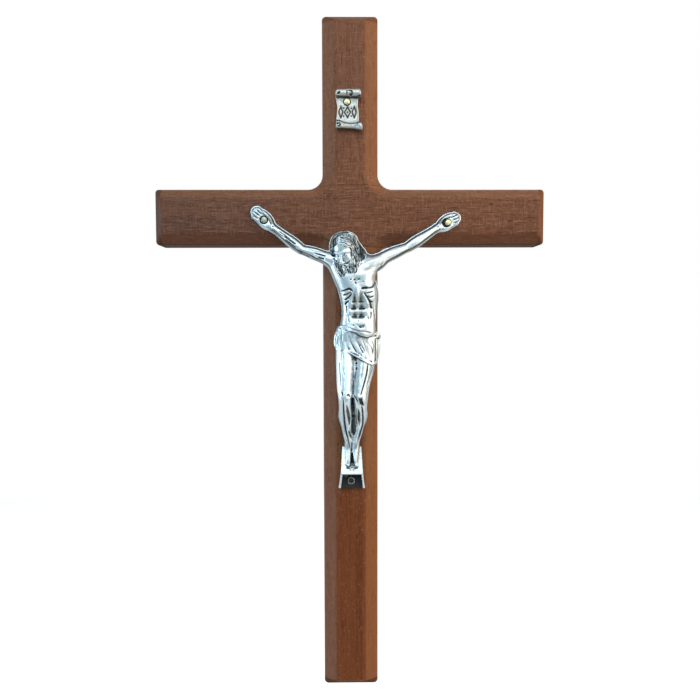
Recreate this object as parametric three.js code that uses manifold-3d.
// A wooden wall crucifix: two bevelled beams joined by a cross lap, a cast metal figure on a foot block,
// a small cast scroll above it, and the four pins that hold the castings to the wood.
// Millimetres. X runs to the viewer's right, the front faces -Y, Z is up. The origin is the middle of the
// crossing, on the back face, which is the plane of the wall.

import * as THREE from 'three';
import { mergeVertices } from 'three/addons/utils/BufferGeometryUtils.js';
import Module from 'manifold-3d';

const wasm = await Module();
wasm.setup();

// Wooden beams
const beamWidth = 20.7;
const beamThickness = 14;
const crossbarLength = 146.2;
const uprightAbove = 73.7; // middle of the crossing to the top end
const uprightBelow = 180.3; // middle of the crossing to the bottom end
const bevelDepth = 3.4;
const uprightBevelWidth = 5.4;
const crossbarBevelWidth = 4;
const endBevelWidth = 2.7;
const crotchRadius = 5.5;
const cornerRadius = 1.2;

// Cross lap: the crossbar passes in front, the upright behind
const lapDepth = 7; // thickness that the upright keeps behind the crossbar
const lapMargin = 1; // how far the joint lines lie outside the beams' edges, in the crotch curves
const glueGap = 0.1;

// Keyhole slot routed into the back of the upright
const keyholeFromTop = 9; // top end of the upright to the screw's seat
const keyholeTravel = 12; // how far the cross drops on to the screw
const screwHeadSlot = 9.5;
const screwNeckSlot = 4.8;
const keyholeLip = 3;
const keyholeDepth = 8;

// Pins
const pinLength = 11; // under the head
const pinRadius = 0.65;
const pinPointLength = 1.6;
const pinHeadHeight = 0.9;
const leftPinHeadRadius = 1.45;
const rightPinHeadRadius = 1.25;
const scrollPinHeadRadius = 1.3;
const footPinHeadRadius = 1.6;
const pinHoleClearance = 0.15;
const seatGap = 0.1; // under a casting, and under a pin's head

// Scroll plaque
const scrollCentre = -0.2;
const scrollTop = 45.8;
const scrollHeight = 15.4;
const scrollTopWidth = 9.6;
const scrollWaistWidth = 6.9;
const scrollFootWidth = 10;
const scrollSheet = 0.9;
const scrollCurlRadius = 1.65;
const scrollPinSide = -0.9; // pin to the scroll's middle line
const scrollPinDrop = 4.6; // scroll's top to its pin

// Cast figure, placed by the middle of its shoulder line
const figureSide = 1.7;
const figureShoulderHeight = -15.7;
const shoulderSpan = 18.8;
const upperArmLength = 10.8;
const forearmLength = 13.4;
const handLength = 9.8;
const palmPinDistance = 4.1; // wrist to the pin
const leftArmRise = [17, 37, 43]; // degrees above level: upper arm, forearm, hand
const rightArmRise = [21, 32.5, 28];
const palmThickness = 2.5;
const palmSinkRadius = 1.7;
const palmSinkFloor = 1.3;
const torsoLength = 30.3; // shoulder line to hip line
const chestWidth = 15.8;
const waistWidth = 12.6;
const hipWidth = 15.6;
const chestRelief = 9.2; // wood to the front of the chest
const kneeRelief = 12.2;
const thighLength = 20.5; // hip line to knee
const shinLength = 16.2; // knee to ankle
const footLength = 11;
const headHeight = 12.2; // crown to chin
const headForward = 8.2;
const headSide = -3.5;
const headLift = 2.4;
const headTurn = 24; // degrees towards the viewer's left
const headBow = 22;
const headLean = 4;

// Foot block, cast in one with the figure
const blockTopWidth = 7.6;
const blockEdgeWidth = 8.4;
const blockFootWidth = 10.5;
const blockHeight = 15.9;
const blockEdgeDrop = 9.2; // block's top to the front edge of its sloping board
const blockRelief = 7; // wood to that edge
const blockPlate = 1.4;
const blockWall = 0.9;
const blockPinRise = 3; // block's foot to its pin

const degree = Math.PI / 180;
const outward = new THREE.Vector3(0, -1, 0);

// Depth is measured outwards, so it grows as y falls.
const at = (x, depth, z) => new THREE.Vector3(x, -depth, z);

function solidOf(geometry) {
  const bare = geometry.index ? geometry.toNonIndexed() : geometry.clone();
  bare.deleteAttribute('normal');
  bare.deleteAttribute('uv');
  const merged = mergeVertices(bare, 1e-5);
  return new wasm.Manifold(new wasm.Mesh({
    numProp: 3,
    vertProperties: new Float32Array(merged.attributes.position.array),
    triVerts: new Uint32Array(merged.index.array),
  }));
}

function geometryOf(solid) {
  const mesh = solid.getMesh();
  const points = new Float32Array(mesh.numVert * 3);
  for (let i = 0; i < mesh.numVert; i += 1) {
    for (let axis = 0; axis < 3; axis += 1) {
      points[3 * i + axis] = mesh.vertProperties[mesh.numProp * i + axis];
    }
  }
  const geometry = new THREE.BufferGeometry();
  geometry.setAttribute('position', new THREE.BufferAttribute(points, 3));
  geometry.setIndex(new THREE.BufferAttribute(new Uint32Array(mesh.triVerts), 1));
  geometry.computeVertexNormals();
  return geometry;
}

const joined = (solids) => solids.reduce((whole, next) => whole.add(next));

function meshOf(points, triangles) {
  const geometry = new THREE.BufferGeometry().setFromPoints(points);
  let volume = 0;
  for (const [a, b, c] of triangles) {
    volume += points[a].dot(new THREE.Vector3().crossVectors(points[b], points[c]));
  }
  geometry.setIndex((volume < 0 ? triangles.map(([a, b, c]) => [a, c, b]) : triangles).flat());
  return solidOf(geometry);
}

// Walls between rings of points that have the same count, ring after ring.
function wallsBetween(ringCount, pointCount) {
  const triangles = [];
  for (let ring = 0; ring + 1 < ringCount; ring += 1) {
    for (let k = 0; k < pointCount; k += 1) {
      const next = (k + 1) % pointCount;
      const [a, b] = [ring * pointCount + k, ring * pointCount + next];
      triangles.push([a, b, b + pointCount], [a, b + pointCount, a + pointCount]);
    }
  }
  return triangles;
}

function box(x0, x1, depth0, depth1, z0, z1) {
  const geometry = new THREE.BoxGeometry(x1 - x0, depth1 - depth0, z1 - z0);
  return solidOf(geometry.translate((x0 + x1) / 2, -(depth0 + depth1) / 2, (z0 + z1) / 2));
}

function drill(radius, x, z, depth0, depth1, sides = 20) {
  const geometry = new THREE.CylinderGeometry(radius, radius, depth1 - depth0, sides);
  return solidOf(geometry.translate(x, -(depth0 + depth1) / 2, z));
}

function oval(centre, halfWidth, halfDepth, halfHeight, sides = 12, rows = 8) {
  const geometry = new THREE.SphereGeometry(1, sides, rows).rotateX(Math.PI / 2);
  return solidOf(geometry.scale(halfWidth, halfDepth, halfHeight).translate(...centre.toArray()));
}

// A plate from an outline seen from the front, [x, z], between two depths.
function plate(outline, depth0, depth1) {
  const shape = new THREE.Shape(outline.map(([x, z]) => new THREE.Vector2(x, z)));
  const geometry = new THREE.ExtrudeGeometry(shape, { depth: depth1 - depth0, bevelEnabled: false });
  const frame = new THREE.Matrix4().makeBasis(
    new THREE.Vector3(1, 0, 0), new THREE.Vector3(0, 0, 1), outward,
  );
  return solidOf(geometry.applyMatrix4(frame).translate(0, -depth0, 0));
}

// A bar from an outline seen from the side, [depth, z], between two x.
function bar(profile, x0, x1) {
  const shape = new THREE.Shape(profile.map(([depth, z]) => new THREE.Vector2(depth, z)));
  const geometry = new THREE.ExtrudeGeometry(shape, { depth: x1 - x0, bevelEnabled: false });
  const frame = new THREE.Matrix4().makeBasis(
    outward, new THREE.Vector3(0, 0, 1), new THREE.Vector3(-1, 0, 0),
  );
  return solidOf(geometry.applyMatrix4(frame).translate(x1, 0, 0));
}

// A limb is a loft of oval sections along a smooth line. Each station is
// [x, depth, z, half width, half depth]. Its two ends are domes.
function limb(stations, { rings = 8, sides = 10, dome = 0.9, relief = null } = {}) {
  const line = new THREE.CatmullRomCurve3(stations.map(([x, depth, z]) => at(x, depth, z)));
  const girth = new THREE.CatmullRomCurve3(stations.map((s) => new THREE.Vector3(s[3], s[4], 0)));
  const domeAngles = [55, 25];
  const sections = [
    ...domeAngles.map((angle) => [0, -Math.sin(angle * degree), Math.cos(angle * degree)]),
    ...Array.from({ length: rings + 1 }, (_, k) => [k / rings, 0, 1]),
    ...domeAngles.toReversed().map((angle) => [1, Math.sin(angle * degree), Math.cos(angle * degree)]),
  ];
  const place = (t, push, scale, angle) => {
    const along = line.getTangent(t);
    const across = new THREE.Vector3().crossVectors(along, outward).normalize();
    const forward = new THREE.Vector3().crossVectors(across, along).normalize();
    const size = girth.getPoint(t);
    const point = line.getPoint(t).addScaledVector(along, push * dome * size.x);
    point.addScaledVector(across, Math.cos(angle) * size.x * scale);
    point.addScaledVector(forward, Math.sin(angle) * size.y * scale);
    if (relief) point.y -= relief(point.x, point.z) * Math.max(0, Math.sin(angle)) * scale;
    return point;
  };
  const points = [];
  for (const [t, push, scale] of sections) {
    for (let k = 0; k < sides; k += 1) points.push(place(t, push, scale, (2 * Math.PI * k) / sides));
  }
  const triangles = wallsBetween(sections.length, sides);
  const first = points.push(place(0, -1, 0, 0)) - 1;
  const last = points.push(place(1, 1, 0, 0)) - 1;
  const lastRing = (sections.length - 1) * sides;
  for (let k = 0; k < sides; k += 1) {
    const next = (k + 1) % sides;
    triangles.push([first, next, k], [last, lastRing + k, lastRing + next]);
  }
  return meshOf(points, triangles);
}

// Wooden cross

// Corners of the cross seen from the front, each with the radius of its curve.
function crossOutline(bevelled) {
  const share = bevelled ? 1 : 0;
  const armHalf = beamWidth / 2 - share * crossbarBevelWidth;
  const postHalf = beamWidth / 2 - share * uprightBevelWidth;
  const reach = crossbarLength / 2 - share * endBevelWidth;
  const top = uprightAbove - share * endBevelWidth;
  const foot = -uprightBelow + share * endBevelWidth;
  const crotch = crotchRadius + share * (uprightBevelWidth + crossbarBevelWidth) / 2;
  const corners = [
    [postHalf, top, cornerRadius], [-postHalf, top, cornerRadius],
    [-postHalf, armHalf, crotch], [-reach, armHalf, cornerRadius],
    [-reach, -armHalf, cornerRadius], [-postHalf, -armHalf, crotch],
    [-postHalf, foot, cornerRadius], [postHalf, foot, cornerRadius],
    [postHalf, -armHalf, crotch], [reach, -armHalf, cornerRadius],
    [reach, armHalf, cornerRadius], [postHalf, armHalf, crotch],
  ];
  const cornerSteps = 4;
  const crotchSteps = 8;
  return corners.flatMap(([x, z, radius], i) => {
    const corner = new THREE.Vector2(x, z);
    const towards = (j) => new THREE.Vector2(corners[j][0], corners[j][1]).sub(corner).normalize();
    const back = towards((i + 11) % 12);
    const ahead = towards((i + 1) % 12);
    const centre = corner.clone().addScaledVector(back, radius).addScaledVector(ahead, radius);
    const steps = radius === crotch ? crotchSteps : cornerSteps;
    return Array.from({ length: steps + 1 }, (_, k) => {
      const angle = (k / steps) * Math.PI / 2;
      return centre.clone()
        .addScaledVector(ahead, -radius * Math.cos(angle))
        .addScaledVector(back, -radius * Math.sin(angle));
    });
  });
}

function wholeCross() {
  const layers = [[false, 0], [false, beamThickness - bevelDepth], [true, beamThickness]];
  const outlines = layers.map(([bevelled]) => crossOutline(bevelled));
  const points = layers.flatMap(([, depth], i) => outlines[i].map((p) => at(p.x, depth, p.y)));
  const count = outlines[0].length;
  const triangles = wallsBetween(layers.length, count);
  for (const [a, b, c] of THREE.ShapeUtils.triangulateShape(outlines[0], [])) triangles.push([a, c, b]);
  const front = count * (layers.length - 1);
  for (const [a, b, c] of THREE.ShapeUtils.triangulateShape(outlines[2], [])) {
    triangles.push([front + a, front + b, front + c]);
  }
  return meshOf(points, triangles);
}

function keyhole() {
  const seat = uprightAbove - keyholeFromTop;
  const entry = seat - keyholeTravel;
  const open = -1;
  const [head, neck] = [screwHeadSlot / 2, screwNeckSlot / 2];
  return joined([
    drill(head, 0, entry, open, keyholeDepth, 24),
    drill(head, 0, seat, keyholeLip, keyholeDepth, 24),
    box(-head, head, keyholeLip, keyholeDepth, entry, seat),
    drill(neck, 0, seat, open, keyholeDepth, 16),
    box(-neck, neck, open, keyholeDepth, entry, seat),
  ]);
}

function beams(pinHoles) {
  const far = uprightBelow + crossbarLength;
  const joint = beamWidth / 2 + lapMargin;
  const whole = wholeCross().subtract(joined(pinHoles));
  const middle = (grow) => box(-far, far, -1, beamThickness + 1, -joint - grow, joint + grow);
  const tongue = (grow) => box(-joint - grow, joint + grow, -1, lapDepth + grow, -far, far);
  const crossbar = whole.intersect(middle(0)).subtract(tongue(glueGap));
  const upright = whole.subtract(middle(glueGap)).add(whole.intersect(tongue(0)));
  return { crossbar, upright: upright.subtract(keyhole()) };
}

// Pins

// The pin's axis is its own y axis: its head's underside is at 0 and its point runs to +Y, into the wood.
function pin(headRadius) {
  const domeSteps = 4;
  const profile = [new THREE.Vector2(0, pinLength), new THREE.Vector2(pinRadius, pinLength - pinPointLength)];
  profile.push(new THREE.Vector2(pinRadius, 0), new THREE.Vector2(headRadius, 0));
  for (let k = 0; k <= domeSteps; k += 1) {
    const angle = (k / domeSteps) * Math.PI / 2;
    const rim = 0.25 * pinHeadHeight;
    const height = rim + (pinHeadHeight - rim) * Math.sin(angle);
    profile.push(new THREE.Vector2(k === domeSteps ? 0 : headRadius * Math.cos(angle), -height));
  }
  return solidOf(new THREE.LatheGeometry(profile.toReversed(), 20));
}

const pinHole = ([x, seat, z]) => drill(
  pinRadius + pinHoleClearance, x, z, seat - pinLength - pinHoleClearance, seat + 1, 16,
);

// Scroll plaque, with depth measured from the wood

// Outer and inner lines of a curl of the sheet, which winds forwards from the sheet's end.
function curl(centreZ, down) {
  const turns = 1.2;
  const steps = 18;
  const line = (inset) => Array.from({ length: steps + 1 }, (_, k) => {
    const angle = (k / steps) * turns * 2 * Math.PI;
    const radius = scrollCurlRadius * (1 - 0.55 * k / steps) - inset;
    return [
      seatGap + scrollCurlRadius - radius * Math.cos(angle),
      centreZ + (down ? -1 : 1) * radius * Math.sin(angle),
    ];
  });
  return [...line(0), ...line(0.6 * scrollSheet).toReversed()];
}

function scroll() {
  const half = scrollHeight / 2;
  const topCurl = half - scrollCurlRadius;
  const sheet = bar([
    [seatGap, -topCurl], [seatGap + scrollSheet, -topCurl],
    [seatGap + scrollSheet, topCurl], [seatGap, topCurl],
  ], -scrollFootWidth, scrollFootWidth);
  const curls = [curl(topCurl, false), curl(-topCurl, true)].map((line) => bar(line, -scrollFootWidth, scrollFootWidth));
  const sideLine = (side) => {
    const widths = [[half, scrollTopWidth], [topCurl - 1.2, scrollTopWidth - 0.6], [0.4, scrollWaistWidth],
      [-topCurl + 1, scrollFootWidth - 1.2], [-half, scrollFootWidth]];
    const curve = new THREE.SplineCurve(widths.map(([z, width]) => new THREE.Vector2(side * width / 2, z)));
    return curve.getPoints(16).map((p) => [p.x, p.y]);
  };
  const outline = plate([...sideLine(1), ...sideLine(-1).toReversed()], 0, 4 * scrollCurlRadius);
  const pinZ = half - scrollPinDrop;
  const hole = drill(pinRadius + pinHoleClearance, scrollPinSide, pinZ, -1, 2 * scrollSheet, 16);
  return joined([sheet, ...curls]).intersect(outline).subtract(hole)
    .subtract(drill(scrollPinHeadRadius + pinHoleClearance, scrollPinSide, pinZ, seatGap + scrollSheet, 9));
}

// Cast figure, measured from the middle of its shoulder line on the face of the wood

function armJoints(side, rise) {
  const step = ([x, z], length, angle) => [
    x + side * length * Math.cos(angle * degree), z + length * Math.sin(angle * degree),
  ];
  const shoulder = [side * shoulderSpan / 2, 0];
  const elbow = step(shoulder, upperArmLength, rise[0]);
  const wrist = step(elbow, forearmLength, rise[1]);
  const palm = step(wrist, palmPinDistance, rise[2]);
  return { shoulder, elbow, wrist, palm };
}

const leftArm = armJoints(-1, leftArmRise);
const rightArm = armJoints(1, rightArmRise);

function arm({ shoulder, elbow, wrist }, side) {
  const between = (a, b, t) => [a[0] + (b[0] - a[0]) * t, a[1] + (b[1] - a[1]) * t];
  const station = ([x, z], depth, wide, deep) => [x, depth, z, wide, deep];
  return limb([
    station([shoulder[0] - side * 3, shoulder[1] - 0.8], 4.2, 3.4, 3.2),
    station(shoulder, 4.0, 3.1, 3.1),
    station(between(shoulder, elbow, 0.5), 3.1, 2.6, 2.6),
    station(elbow, 2.4, 1.95, 2.1),
    station(between(elbow, wrist, 0.33), 2.3, 2.25, 2.1),
    station(between(elbow, wrist, 0.7), 1.8, 1.75, 1.7),
    station(wrist, 1.5, 1.55, 1.3),
  ], { rings: 12, sides: 10 });
}

function hand({ wrist, palm }, rise, side) {
  const turn = rise[2] * degree;
  const place = (along, across, depth, wide, deep) => [
    wrist[0] + side * (along * Math.cos(turn) - across * Math.sin(turn)),
    depth,
    wrist[1] + along * Math.sin(turn) + across * Math.cos(turn),
    wide, deep,
  ];
  const knuckles = 0.62 * handLength;
  const body = limb([
    place(-0.6, 0, 1.5, 1.5, 1.25),
    place(1.6, 0, 1.4, 2.1, palmThickness / 2),
    place(palmPinDistance, 0, 1.25, 2.85, palmThickness / 2),
    place(knuckles, 0, 1.2, 2.6, 0.95),
  ], { rings: 5, sides: 10, dome: 0.35 });
  const fingers = [-1.95, -0.65, 0.65, 1.95].map((across, i) => {
    const reach = handLength - [0.9, 0.1, 0.3, 1.4][i] * 1;
    return limb([
      place(knuckles - 1.2, across, 1.25, 0.68, 0.8),
      place((knuckles + reach) / 2, across * 1.04, 1.75, 0.64, 0.68),
      place(reach - 0.5, across * 0.98, 1.85, 0.56, 0.56),
    ], { rings: 3, sides: 6, dome: 0.8 });
  });
  const thumb = limb([
    place(1.6, 1.9, 1.5, 0.85, 0.9),
    place(3.9, 3.1, 1.9, 0.75, 0.8),
    place(5.9, 3.05, 2.4, 0.62, 0.62),
  ], { rings: 3, sides: 6, dome: 0.8 });
  const sink = drill(palmSinkRadius, palm[0], palm[1], palmSinkFloor, 9, 20);
  const hole = drill(pinRadius + pinHoleClearance, palm[0], palm[1], -1, 9, 16);
  return { cast: joined([body, ...fingers, thumb]), cut: sink.add(hole) };
}

// Height of the chest and belly muscles above the plain body, at x from the body's middle line.
function muscleRelief(x, z) {
  const bump = (dx, dz, width, height) => Math.exp(-((dx / width) ** 2) - ((dz / height) ** 2));
  const middle = x - bodyLine(z);
  const away = Math.abs(middle);
  const chest = 0.9 * bump(away - 3.7, z + 6.2, 3, 3);
  const ribArch = -0.7 * bump(away - 0.3 * (-11.5 - z) - 1, z + 14.2, 1.1, 3.2);
  const midLine = -0.35 * bump(middle, z + 18, 0.9, 9);
  const rows = [-17.4, -20.6, -24].reduce((sum, row) => sum + 0.4 * bump(away - 1.6, z - row, 1.4, 1.3), 0);
  const navel = -0.4 * bump(middle, z + 24.9, 0.7, 0.8);
  return chest + ribArch + midLine + rows + navel;
}

// The body's middle line, which sways towards the viewer's right at the waist.
function bodyLine(z) {
  return 1.6 * Math.sin(Math.PI * THREE.MathUtils.clamp(-z / (torsoLength + 8), 0, 1));
}

function torso() {
  const hip = -torsoLength;
  const chest = chestWidth / 2;
  const waist = waistWidth / 2;
  const core = 3.1;
  const station = (z, half, front) => [bodyLine(z), core, z, half, front - core];
  return limb([
    station(1.6, 5.4, chestRelief - 3.2),
    station(-0.8, chest + 0.7, chestRelief - 2.2),
    station(-3.6, chest + 1, chestRelief - 1.1),
    station(-8.3, chest, chestRelief - 0.3),
    station(-13.4, (chest + waist) / 2 - 0.2, chestRelief),
    station(-18.8, waist, chestRelief - 1.5),
    station(-24, waist + 0.2, chestRelief - 0.9),
    station(hip, hipWidth / 2, chestRelief - 0.2),
    station(hip - 5, hipWidth / 2 - 0.9, chestRelief - 0.6),
  ], { rings: 24, sides: 26, dome: 0.25, relief: muscleRelief });
}

function legs() {
  const hip = -torsoLength;
  const knee = hip - thighLength;
  const ankle = knee - shinLength;
  const leg = (side, hipX, kneeX, calfX, ankleX, drop) => limb([
    [hipX, 4, hip - 3, 4, 4.4],
    [(hipX + kneeX) / 2 - 0.1, 6.2, hip - thighLength * 0.5, 3.75, 4],
    [kneeX + side * 0.15, kneeRelief - 3.8, knee + 3.2 - drop, 3.05, 3.2],
    [kneeX, kneeRelief - 3, knee - drop, 2.8, 3],
    [kneeX, kneeRelief - 4.4, knee - 3 - drop, 2.5, 2.6],
    [calfX, 5.6, knee - 0.45 * shinLength, 2.75, 2.6],
    [(calfX + ankleX) / 2, 4.6, knee - 0.8 * shinLength, 1.95, 2],
    [ankleX, 4.2, ankle, 1.55, 1.7],
  ], { rings: 14, sides: 12 });
  return joined([leg(-1, -3.2, -3.7, -3.1, -2, 0), leg(1, 3.8, 1.75, 1.4, 0.2, 0.9)]);
}

// The board of the foot block slopes out from the wood, and the crossed feet lie on it.
function boardDepth(z) {
  const fall = THREE.MathUtils.clamp((blockTopZ - z) / blockEdgeDrop, 0, 1);
  return blockPlate + seatGap + fall * (blockRelief - blockPlate - seatGap);
}

const ankleZ = -torsoLength - thighLength - shinLength;
const blockTopZ = ankleZ - 3.3;
const blockMiddle = -figureSide + 0.2;
const footPinPlace = [blockMiddle - 0.1, blockTopZ - blockHeight + blockPinRise];

function feet() {
  const toeZ = ankleZ - footLength;
  const foot = (ankleX, toeX, lift) => {
    const ball = toeZ + 0.32 * footLength;
    const sole = limb([
      [ankleX, 4.2, ankleZ + 0.6, 1.6, 1.7],
      [ankleX, boardDepth(ankleZ - 3.5) + 1.7 + lift, ankleZ - 3.5, 1.65, 1.6],
      [toeX, boardDepth(ball) + 1.1 + lift, ball, 1.95, 1.25],
      [toeX, boardDepth(toeZ + 2) + 0.8 + lift, toeZ + 2, 1.85, 0.95],
    ], { rings: 7, sides: 10, dome: 0.4 });
    const toes = [0, 1, 2, 3, 4].map((k) => {
      const x = toeX - 1.6 + 0.78 * k;
      const tip = toeZ + [0.2, 0.05, 0.15, 0.45, 0.85][k] + 0.3;
      return limb([
        [x, boardDepth(tip + 1.6) + 0.9 + lift, tip + 1.6, k ? 0.42 : 0.55, 0.6],
        [x, boardDepth(tip) + 0.75 + lift, tip, k ? 0.4 : 0.5, 0.5],
      ], { rings: 1, sides: 5, dome: 0.8 });
    });
    return joined([sole, ...toes]);
  };
  return joined([foot(-2.1, -2.6, 0), foot(-0.1, -0.5, 0.7)]);
}

function footBlock() {
  const edgeZ = blockTopZ - blockEdgeDrop;
  const footZ = blockTopZ - blockHeight;
  const inside = blockPlate + seatGap;
  const slope = Math.hypot(blockEdgeDrop, blockRelief - inside);
  const boardBack = blockWall * slope / (blockRelief - inside); // board's thickness, measured down the wood
  const outline = (wall) => [
    [blockMiddle - blockTopWidth / 2 + wall, blockTopZ], [blockMiddle - blockEdgeWidth / 2 + wall, edgeZ],
    [blockMiddle - blockFootWidth / 2 + wall, footZ], [blockMiddle + blockFootWidth / 2 - wall, footZ],
    [blockMiddle + blockEdgeWidth / 2 - wall, edgeZ], [blockMiddle + blockTopWidth / 2 - wall, blockTopZ],
  ];
  const side = [
    [seatGap, blockTopZ], [inside, blockTopZ], [blockRelief, edgeZ], [inside, footZ], [seatGap, footZ],
  ];
  const hollow = [
    [inside, blockTopZ - boardBack], [blockRelief, edgeZ - boardBack],
    [blockRelief + 3, edgeZ - boardBack], [blockRelief + 3, footZ - 1], [inside, footZ - 1],
  ];
  const span = [blockMiddle - blockFootWidth, blockMiddle + blockFootWidth];
  const shell = bar(side, ...span).intersect(plate(outline(0), 0, 2 * blockRelief));
  const innerOutline = outline(blockWall).map(([x, z]) => [x, z === footZ ? z - 2 : z]);
  return shell.subtract(bar(hollow, ...span).intersect(plate(innerOutline, 0, 2 * blockRelief)));
}

// Folds fan out from the bunch of cloth on the viewer's left hip.
function foldRelief(x, z) {
  const hip = -torsoLength;
  const across = x + 0.45 * hipWidth;
  const down = hip + 7 - z;
  const fan = Math.atan2(down, across);
  return 0.35 * Math.cos(13 * fan) * Math.min(1, Math.hypot(across, down) / 5);
}

function loincloth() {
  const hip = -torsoLength;
  const half = hipWidth / 2;
  const wrap = limb([
    [bodyLine(hip + 8) - 0.1, 3.1, hip + 8, half - 0.7, chestRelief - 3.2],
    [0.9, 3.1, hip + 3, half + 0.1, chestRelief - 2.2],
    [0.5, 3.4, hip - 2, half + 0.3, chestRelief - 2],
    [0.5, 4.2, hip - 6, half + 0.2, chestRelief - 1.9],
    [0.7, 5, hip - 11, half, chestRelief - 1.9],
  ], { rings: 12, sides: 40, dome: 0.1, relief: foldRelief });
  const waistLine = [[-half - 3, hip + 5.7], [0, hip + 4.9], [half - 1, hip + 2.9], [half + 3, hip + 3.2]];
  const hemLine = [[half + 3, hip - 9], [half - 1, hip - 9], [4, hip - 7.6], [0, hip - 5.2],
    [-half + 3.4, hip - 3.3], [-half - 3, hip - 4.4]];
  const smooth = (line) => new THREE.SplineCurve(line.map(([x, z]) => new THREE.Vector2(x, z)))
    .getPoints(14).map((p) => [p.x, p.y]);
  const cut = plate([...smooth(hemLine), ...smooth(waistLine)], -1, 20);
  const roll = limb([
    [-half + 0.6, 3.4, hip + 5.4, 0.9, 1], [-half + 3, 7.7, hip + 5.2, 0.95, 1],
    [0.6, 9, hip + 4.2, 1, 1], [half - 2, 7.4, hip + 2.7, 0.95, 1], [half + 0.3, 3.4, hip + 2.9, 0.9, 1],
  ], { rings: 12, sides: 7 });
  const knot = oval(at(half + 0.5, 3.8, hip + 1.4), 1.5, 2, 1.8, 10, 8);
  const tail = limb([
    [half + 0.5, 3.4, hip + 0.6, 1, 1.7], [half + 0.8, 3.2, hip - 4, 1.2, 2.2], [half + 0.2, 3.2, hip - 8.4, 1, 2],
  ], { rings: 6, sides: 8, dome: 0.3 });
  const bunch = limb([
    [-half + 0.7, 4, hip + 4.8, 1.2, 1.8], [-half - 0.1, 4.6, hip, 1.8, 2.6], [-half + 0.5, 4.4, hip - 3.2, 1.4, 2],
  ], { rings: 6, sides: 10, dome: 0.3 });
  return joined([wrap.intersect(cut), roll, knot, tail, bunch]);
}

// The head is made upright and facing front, about its own middle, then turned, bowed and set on the neck.
function head() {
  const chin = -headHeight / 2;
  const brow = 0.06 * headHeight;
  const skull = oval(at(0, -0.6, 0.9), 4, 4.9, headHeight / 2 - 0.9, 12, 8);
  const face = oval(at(0, 0.9, -1.3), 3.3, 3.9, headHeight / 2 - 1, 12, 8);
  const browRidge = limb([
    [-2.6, 3.2, brow - 0.1, 0.5, 0.55], [-1.2, 4.15, brow + 0.1, 0.5, 0.55], [0, 4.3, brow - 0.1, 0.5, 0.5],
    [1.2, 4.15, brow + 0.1, 0.5, 0.55], [2.6, 3.2, brow - 0.1, 0.5, 0.55],
  ], { rings: 6, sides: 6 });
  const nose = limb([
    [0, 4.3, brow - 0.3, 0.42, 0.5], [0, 5.1, brow - 1.6, 0.5, 0.7], [0, 5.4, chin + 0.36 * headHeight, 0.8, 0.7],
  ], { rings: 4, sides: 7, dome: 0.5 });
  const cheeks = [-1, 1].map((side) => oval(at(side * 1.8, 3.5, -1.4), 1.25, 1, 1.2, 8, 6));
  const moustache = [-1, 1].map((side) => limb([
    [side * 0.3, 4.8, chin + 3.2, 0.5, 0.6], [side * 1.5, 4.3, chin + 2.7, 0.55, 0.7],
    [side * 2.3, 3.4, chin + 1.5, 0.5, 0.6],
  ], { rings: 3, sides: 6 }));
  const beard = [-1, 1].map((side) => limb([
    [side * 1.6, 2.6, chin + 2.6, 1.5, 1.6], [side * 1.4, 3.4, chin, 1.7, 1.8], [side * 0.9, 3.9, chin - 2.4, 1.2, 1.3],
  ], { rings: 5, sides: 8 }));
  const crown = oval(at(0, -1.2, 1.6), 4.9, 4.9, headHeight / 2 - 1, 14, 10);
  const lock = (side, out, back, fall, girth) => limb([
    [side * (3.6 + out), 1.6 - back, 3.2, girth, girth], [side * (4.5 + out), 1 - back, -0.6, girth, girth * 1.2],
    [side * (4.4 + out), 0.6 - back, -fall * 0.6, girth, girth], [side * (4.6 + out), 0.2 - back, -fall, girth * 0.7, girth * 0.8],
  ], { rings: 7, sides: 7 });
  const hair = [
    lock(-1, 0, 0, 5.4, 1.2), lock(-1, 0.2, 2.4, 6.4, 1.4), lock(1, -0.1, 0, 6.2, 1.3), lock(1, 0.4, 2, 8.2, 1.5),
    lock(1, 0.3, 4.2, 9.4, 1.7),
  ];
  const turned = new THREE.Matrix4().makeRotationFromEuler(new THREE.Euler(
    headBow * degree, headLean * degree, -headTurn * degree, 'ZYX',
  ));
  turned.setPosition(at(headSide, headForward, headLift));
  const whole = joined([skull, face, browRidge, nose, ...cheeks, ...moustache, ...beard, crown, ...hair]);
  const placed = solidOf(geometryOf(whole).applyMatrix4(turned));
  const neck = limb([
    [-0.4, 4, -1.4, 3.4, 3], [-1.6, 5.4, 1, 2.7, 2.7], [headSide + 0.4, headForward - 1.2, headLift, 2.6, 2.6],
  ], { rings: 4, sides: 10 });
  const mantle = limb([
    [-shoulderSpan / 2 + 0.6, 4.3, 0.2, 2.3, 2.5], [-3, 5, 1.4, 2.2, 2.6], [2.6, 5, 1.4, 2.2, 2.6],
    [shoulderSpan / 2 - 0.6, 4.3, 0.2, 2.3, 2.5],
  ], { rings: 6, sides: 10 });
  const throat = oval(at(headSide - 0.1, headForward - 0.8, headLift - 6.2), 2.1, 1.7, 2.2, 10, 8);
  return joined([placed, neck, throat, mantle]);
}

function figure() {
  const hands = [hand(leftArm, leftArmRise, -1), hand(rightArm, rightArmRise, 1)];
  const behind = box(-shoulderSpan * 4, shoulderSpan * 4, -40, seatGap, 3 * ankleZ, -ankleZ);
  const footPinHole = drill(pinRadius + pinHoleClearance, ...footPinPlace, -1, blockPlate + 1, 16);
  return joined([
    torso(), legs(), feet(), loincloth(), head(), footBlock(),
    arm(leftArm, -1), arm(rightArm, 1), ...hands.map(({ cast }) => cast),
  ]).subtract(joined([behind, footPinHole, ...hands.map(({ cut }) => cut)]));
}

// Assembly

const finish = (color, roughness, metalness) => new THREE.MeshStandardMaterial({ color, roughness, metalness });

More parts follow.
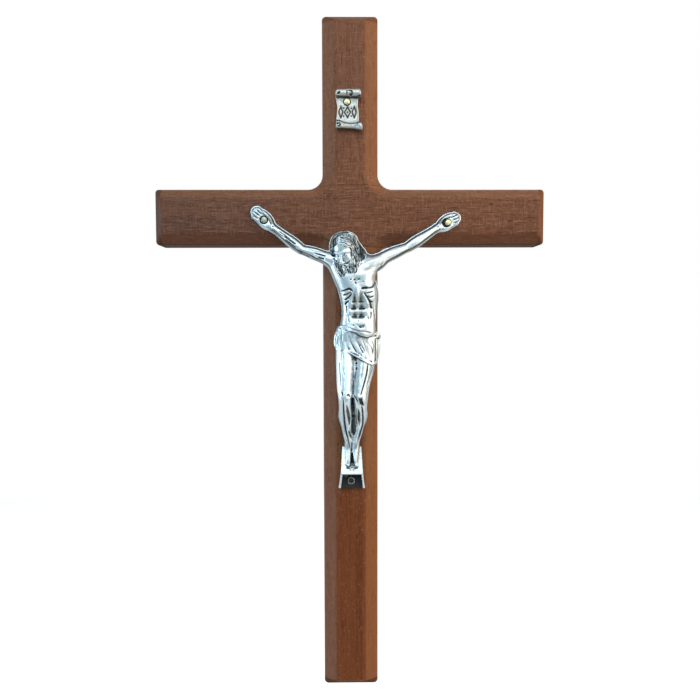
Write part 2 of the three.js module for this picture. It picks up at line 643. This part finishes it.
function place(parent, name, solid, material, position = [0, 0, 0]) {
  const mesh = new THREE.Mesh(geometryOf(solid), material);
  mesh.name = name;
  mesh.position.set(...position);
  parent.add(mesh);
}

const cross = new THREE.Group();
const scrollGroup = new THREE.Group();
const figureGroup = new THREE.Group();
scrollGroup.position.copy(at(scrollCentre, beamThickness, scrollTop - scrollHeight / 2));
figureGroup.position.copy(at(figureSide, beamThickness, figureShoulderHeight));
cross.add(scrollGroup, figureGroup);

const scrollPinAt = [scrollPinSide, scrollSheet + 2 * seatGap, scrollHeight / 2 - scrollPinDrop];
const leftPinAt = [leftArm.palm[0], palmSinkFloor + seatGap, leftArm.palm[1]];
const rightPinAt = [rightArm.palm[0], palmSinkFloor + seatGap, rightArm.palm[1]];
const footPinAt = [footPinPlace[0], blockPlate + 2 * seatGap, footPinPlace[1]];

const inWood = (group, [x, depth, z]) => [
  group.position.x + x, depth - group.position.y, group.position.z + z,
];
const { crossbar, upright } = beams([
  pinHole(inWood(scrollGroup, scrollPinAt)), pinHole(inWood(figureGroup, leftPinAt)),
  pinHole(inWood(figureGroup, rightPinAt)), pinHole(inWood(figureGroup, footPinAt)),
]);

place(cross, 'upright', upright, finish(0x7a4c39, 0.45, 0));
place(cross, 'crossbar', crossbar, finish(0x754a3b, 0.45, 0));
place(scrollGroup, 'titulus_scroll', scroll(), finish(0xb9c2c4, 0.3, 0.95));
place(scrollGroup, 'titulus_pin', pin(scrollPinHeadRadius), finish(0xd9cf9a, 0.35, 0.9), at(...scrollPinAt).toArray());
place(figureGroup, 'corpus', figure(), finish(0xc3cccf, 0.28, 0.95));
place(figureGroup, 'left_hand_pin', pin(leftPinHeadRadius), finish(0xa4ab98, 0.4, 0.9), at(...leftPinAt).toArray());
place(figureGroup, 'right_hand_pin', pin(rightPinHeadRadius), finish(0xd9cf9a, 0.35, 0.9), at(...rightPinAt).toArray());
place(figureGroup, 'foot_pin', pin(footPinHeadRadius), finish(0x5a605c, 0.45, 0.9), at(...footPinAt).toArray());

export default cross;
